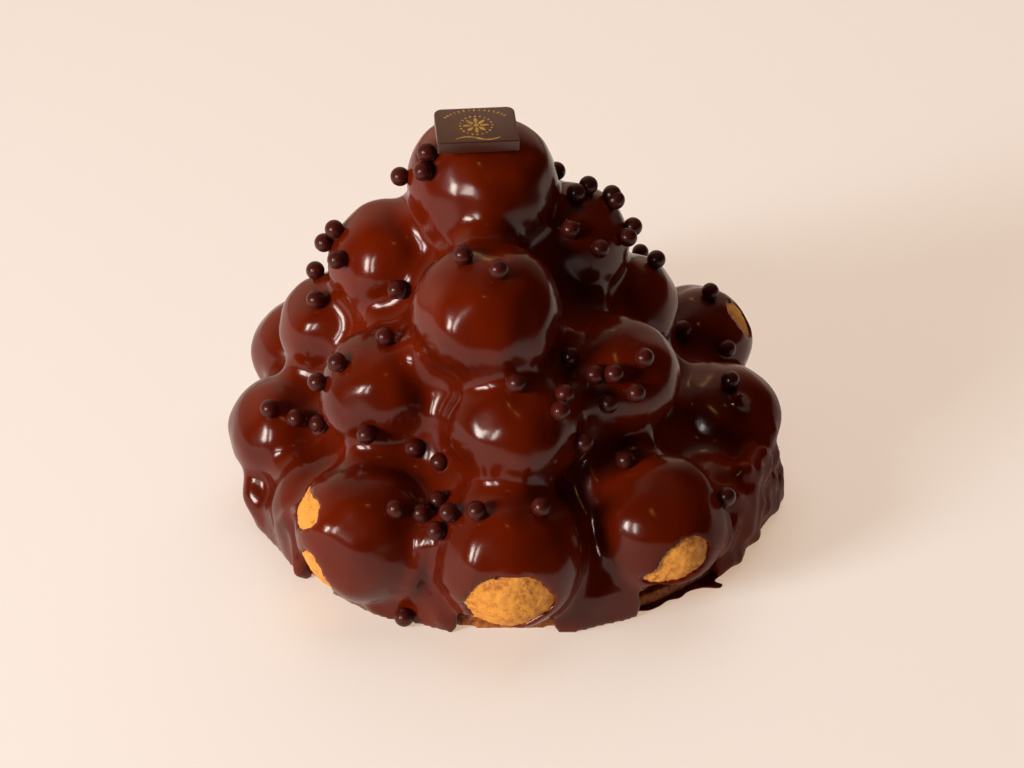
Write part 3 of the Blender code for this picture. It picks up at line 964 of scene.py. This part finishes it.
class CAKE_OT_pearls(bpy.types.Operator):
    """Lay the chocolate pearls on the coat"""

    bl_idname = "cake.pearls"
    bl_label = "Lay the pearls"

    def execute(self, context):
        radius = context.scene.cake_pearls.radius
        coat = bpy.data.objects["chocolate_coat"]
        bpy.ops.object.select_all(action="DESELECT")
        bpy.ops.mesh.primitive_ico_sphere_add(subdivisions=4, radius=radius)
        model = bpy.context.view_layer.objects.active
        laid = []
        for huddle in HUDDLES:
            for place in places_in(huddle, coat, radius):
                pearl = model.copy()
                pearl.data = model.data.copy()
                context.scene.collection.objects.link(pearl)
                pearl.location = place
                laid.append(pearl)
        model.location = direction(FALLEN_PEARL) * (SKIRT_RADIUS + radius / 2)
        model.location.z = 1.1 * radius
        laid.append(model)
        pearls = join(laid, "pearls")
        settle(pearls)
        finish_piece(pearls, pearl_chocolate(), "dark_chocolate", *BUN_NODES)
        return {"FINISHED"}


def places_in(huddle, coat, radius):
    """Where a huddle's pearls lie: a loose spiral about its direction, on the coat's face."""
    bun = BUNS[huddle.bun]
    draw = random.Random(f"{SEED} {huddle}")
    turn = facing(huddle.heading, huddle.lift)
    bare = sum(bun.half_widths) / 3 - COAT
    for number in range(huddle.count):
        swing = math.radians(huddle.spin) + number * GOLDEN_ANGLE
        out = PEARL_PITCH * radius * math.sqrt(number) * draw.uniform(*PEARL_CLOSENESS)
        aim = (turn @ Vector((out * math.cos(swing), out * math.sin(swing), bare))).normalized()
        hit, point, _, _ = coat.ray_cast(bun.centre, aim)
        if not hit:
            raise RuntimeError(f"no coat under a pearl of {huddle}")
        yield point + aim * radius * (1 - PEARL_SINK)


class CAKE_OT_sponge(bpy.types.Operator):
    """Cut the sponge disc that the buns stand on"""

    bl_idname = "cake.sponge"
    bl_label = "Cut the sponge"

    def execute(self, context):
        disc = add_drum(DISC_RADIUS - SPONGE_GAP, 0, DISC_HEIGHT, 512)
        disc.name = "sponge"
        modify(disc, "REMESH", mode="VOXEL", voxel_size=0.8 * MM)
        roughen(disc, "CLOUDS", CRUMB_SIZE, CRUMB_DEPTH, noise_depth=1)
        finish_piece(disc, soaked_sponge(), "sponge", "sponge_disc")
        return {"FINISHED"}


def plaque_frame():
    """The plaque's place as a matrix, x along its front and z out of its face, and its size."""
    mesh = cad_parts["chocolate_plaque"].data
    face = max(mesh.polygons, key=lambda polygon: polygon.area * polygon.normal.z)
    out = face.normal.copy()
    level = Vector((1, 0, 0))
    for start, end in face.edge_keys:
        edge = mesh.vertices[end].co - mesh.vertices[start].co
        if abs(edge.x) > abs(edge.y) and edge.length > PLAQUE_SIDE:
            level = edge.normalized() * math.copysign(1, edge.x)
    axes = Matrix((level, out.cross(level), out)).transposed()
    local = np.array([axes.transposed() @ vert.co for vert in mesh.vertices])
    low, high = local.min(0), local.max(0)
    place = Matrix.Translation(axes @ Vector((low + high) / 2)) @ axes.to_4x4()
    return place, Vector(high - low)


class CAKE_OT_plaque(bpy.types.Operator):
    """Mould the chocolate plaque and print its gold rosette"""

    bl_idname = "cake.plaque"
    bl_label = "Mould the plaque"

    def execute(self, context):
        place, size = plaque_frame()
        plaque = add_slab(-size / 2, size / 2)
        plaque.name = "plaque"
        select_only(plaque)
        bpy.ops.object.mode_set(mode="EDIT")
        bpy.ops.mesh.select_mode(type="EDGE")
        bpy.ops.mesh.select_all(action="DESELECT")
        mesh = bmesh.from_edit_mesh(plaque.data)
        for edge in mesh.edges:
            middle = (edge.verts[0].co + edge.verts[1].co) / 2
            edge.select_set(abs(middle.z) < size.z / 4 and middle.y > 0)
        bmesh.update_edit_mesh(plaque.data)
        bpy.ops.mesh.bevel(offset=PLAQUE_CORNER, segments=8)
        bpy.ops.object.mode_set(mode="OBJECT")
        modify(plaque, "BEVEL", width=PLAQUE_EDGE, segments=4, limit_method="ANGLE")
        plaque.matrix_world = place
        settle(plaque)
        finish_piece(plaque, tempered_chocolate(), "moulded_chocolate", "chocolate_plaque")
        design = join(list(rosette(size)), "plaque_print")
        design.matrix_world = place
        settle(design)
        finish_piece(design, gold_leaf(), "moulded_chocolate", "chocolate_plaque")
        return {"FINISHED"}


def rosette(size):
    """Gold dabs on the plaque's face: a rosette in a ring of dots, an arc over it and a swash."""
    top = size.z / 2

    def dab(x, y, long, wide, turn=0.0):
        quaternion = Matrix.Rotation(turn, 3, "Z").to_quaternion()
        return add_ball(Vector((x, y, top)), (long, wide, GOLD_THICKNESS), 16, 8, quaternion)

    middle = -0.3 * MM
    yield dab(0, middle, 0.7 * MM, 0.7 * MM)
    for number in range(PETALS):
        turn = math.tau * number / PETALS
        x, y = math.cos(turn), math.sin(turn)
        yield dab(PETAL_REACH * x, middle + PETAL_REACH * y, 1.25 * MM, 0.5 * MM, turn)
    for number in range(RING_DOTS):
        turn = math.tau * number / RING_DOTS
        x, y = math.cos(turn), math.sin(turn)
        yield dab(RING_REACH * x, middle + RING_REACH * y, 0.32 * MM, 0.32 * MM)
    for number in range(ARC_DABS):
        turn = math.radians(155 - 130 * number / (ARC_DABS - 1))
        yield dab(
            8.6 * MM * math.cos(turn), size.y / 2 - 6.4 * MM + 5.2 * MM * math.sin(turn),
            0.25 * MM, 0.48 * MM, turn + math.pi / 2,
        )
    for number in range(SWASH_DABS):
        share = number / (SWASH_DABS - 1)
        yield dab(
            (share - 0.5) * 11 * MM, -size.y / 2 + (1.8 + 0.8 * math.sin(share * math.tau)) * MM,
            0.35 * MM, (0.15 + 0.25 * math.sin(share * math.pi)) * MM,
        )


# ---------------------------------------------------------------------------------------------
# The stage

VIEW_LIFT = math.radians(33)  # of the camera, above the horizontal
VIEW_DISTANCE = 0.6
VIEW_TARGET = Vector((0.37 * MM, 0, 28.48 * MM))
LENS = 74.13  # focal length in millimetres
PALE_SIDE = direction(205)  # where the room is pale
LIGHT_AIM = Vector((0, 0, 50 * MM))
FLOOR_WIDTH = 6


def room():
    """A dim room: pale behind the cake, and dark on the side that its gloss mirrors."""
    world = bpy.data.worlds.new("Room")
    world.use_nodes = True
    tree = world.node_tree
    tree.nodes.clear()
    way = add_node(tree, "ShaderNodeTexCoord").outputs["Generated"]
    along = add_node(tree, "ShaderNodeVectorMath", {0: way, 1: PALE_SIDE}, operation="DOT_PRODUCT")
    depth = add_node(tree, "ShaderNodeValToRGB", {"Fac": along.outputs["Value"]})
    depth.color_ramp.elements[0].position = 0.2
    depth.color_ramp.elements[0].color = (*linear("#0C0908"), 1)
    depth.color_ramp.elements[1].position = 0.75
    depth.color_ramp.elements[1].color = (*linear("#E8CDB4"), 1)
    background = add_node(
        tree, "ShaderNodeBackground", {"Color": depth.outputs["Color"], "Strength": 0.8},
    )
    add_node(tree, "ShaderNodeOutputWorld", {"Surface": background.outputs["Background"]})
    return world


def add_light(name, heading, lift, distance, size, power, colour):
    """A rectangular lamp that faces the middle of the cake from a heading and a lift."""
    light = bpy.data.lights.new(name, "AREA")
    light.shape = "RECTANGLE"
    light.size, light.size_y = size
    light.energy = power
    light.color = colour
    obj = bpy.data.objects.new(name, light)
    obj.location = LIGHT_AIM + direction(heading, lift) * distance
    obj.rotation_mode = "QUATERNION"
    obj.rotation_quaternion = direction(heading, lift).to_track_quat("Z", "Y")
    bpy.context.scene.collection.objects.link(obj)
    return obj


def add_far_floor():
    """A wide ring round the floor's pale middle, which lights and mirrors nothing."""
    bpy.ops.object.select_all(action="DESELECT")
    bpy.ops.mesh.primitive_circle_add(vertices=96, radius=FAR_REACH[0], location=FLOOR_HEART)
    far = bpy.context.view_layer.objects.active
    far.name = "far_floor"
    bpy.ops.object.mode_set(mode="EDIT")
    bpy.ops.mesh.select_all(action="SELECT")
    bpy.ops.mesh.extrude_region_move()
    bpy.ops.transform.resize(value=(8, 8, 8), center_override=FLOOR_HEART)
    bpy.ops.object.mode_set(mode="OBJECT")
    settle(far)
    far.visible_diffuse = False
    far.visible_glossy = False
    far.visible_shadow = False
    return far


class CAKE_OT_stage(bpy.types.Operator):
    """Set the floor, the lights and the camera"""

    bl_idname = "cake.stage"
    bl_label = "Set the stage"

    def execute(self, context):
        bpy.ops.object.select_all(action="DESELECT")
        bpy.ops.mesh.primitive_plane_add(size=FLOOR_WIDTH, location=(0, 0, -0.05 * MM))
        floor = bpy.context.view_layer.objects.active
        floor.name = "floor"
        floor.data.materials.append(floor_with_painted_glow_and_shade())
        floor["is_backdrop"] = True
        far = add_far_floor()
        far.data.materials.append(far_floor())
        far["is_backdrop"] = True
        for pane in (
            add_light("Left pane", -49, 19, 1.5, (0.26, 0.5), 14, (1, 0.92, 0.84)),
            add_light("Right pane", -31, 22, 1.5, (0.13, 0.5), 5.5, (1, 0.92, 0.84)),
        ):
            pane.visible_diffuse = False
        add_light("Lamp over the camera", 8, 63, 1.2, (0.07, 0.05), 0.18, (1, 0.5, 0.12))
        add_light("Lamp behind the cake", 182, 50, 1.2, (0.07, 0.05), 0.12, (1, 0.5, 0.12))
        for soft in (
            add_light("Soft window", -55, 19, 1.4, (0.4, 0.4), 25, (1, 0.95, 0.9)),
            add_light("Bounce", 170, 62, 1.3, (1.3, 1.3), 9, (1, 0.95, 0.9)),
        ):
            soft.visible_glossy = False
        context.scene.world = room()
        context.scene.view_settings.view_transform = "Standard"
        camera = bpy.data.objects.new("Camera", bpy.data.cameras.new("Camera"))
        context.scene.collection.objects.link(camera)
        camera.data.lens = LENS
        camera.data.clip_start = 0.01
        back = Vector((0, -math.cos(VIEW_LIFT), math.sin(VIEW_LIFT)))
        camera.location = VIEW_TARGET + back * VIEW_DISTANCE
        camera.rotation_euler = (math.pi / 2 - VIEW_LIFT, 0, 0)
        context.scene.camera = camera
        return {"FINISHED"}


class CAKE_PT_cake(bpy.types.Panel):
    """The cake's sizes and colours, then its steps in order"""

    bl_idname = "CAKE_PT_cake"
    bl_label = "Profiterole cake"
    bl_space_type = "VIEW_3D"
    bl_region_type = "UI"
    bl_category = "Cake"

    def draw(self, context):
        for name, group in GROUPS.items():
            box = self.layout.box()
            for prop in group.__annotations__:
                box.prop(getattr(context.scene, name), prop)
        for operator in OPERATORS:
            self.layout.operator(operator.bl_idname)


OPERATORS = (
    CAKE_OT_pour, CAKE_OT_film, CAKE_OT_bake, CAKE_OT_pearls, CAKE_OT_sponge, CAKE_OT_plaque,
    CAKE_OT_stage,
)
GROUPS = {
    "cake_pouring": PouringSettings,
    "cake_pearls": PearlSettings,
    "cake_crust": CrustSettings,
    "cake_stage": StageSettings,
}


def register():
    for cls in (*GROUPS.values(), *OPERATORS, CAKE_PT_cake):
        bpy.utils.register_class(cls)
    for name, group in GROUPS.items():
        setattr(bpy.types.Scene, name, PointerProperty(type=group))


def unregister():
    for name in GROUPS:
        delattr(bpy.types.Scene, name)
    for cls in (CAKE_PT_cake, *reversed(OPERATORS), *reversed(GROUPS.values())):
        bpy.utils.unregister_class(cls)


def main():
    register()
    bpy.ops.cake.pour()
    bpy.ops.cake.film()
    bpy.ops.cake.bake()
    bpy.ops.cake.pearls()
    bpy.ops.cake.sponge()
    bpy.ops.cake.plaque()
    bpy.ops.cake.stage()
    boxes = {"cad": CAD_BOX, "visual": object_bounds()}
    {name: [list(corner) for corner in box] for name, box in boxes.items()}


if __name__ == "__main__":
    main()
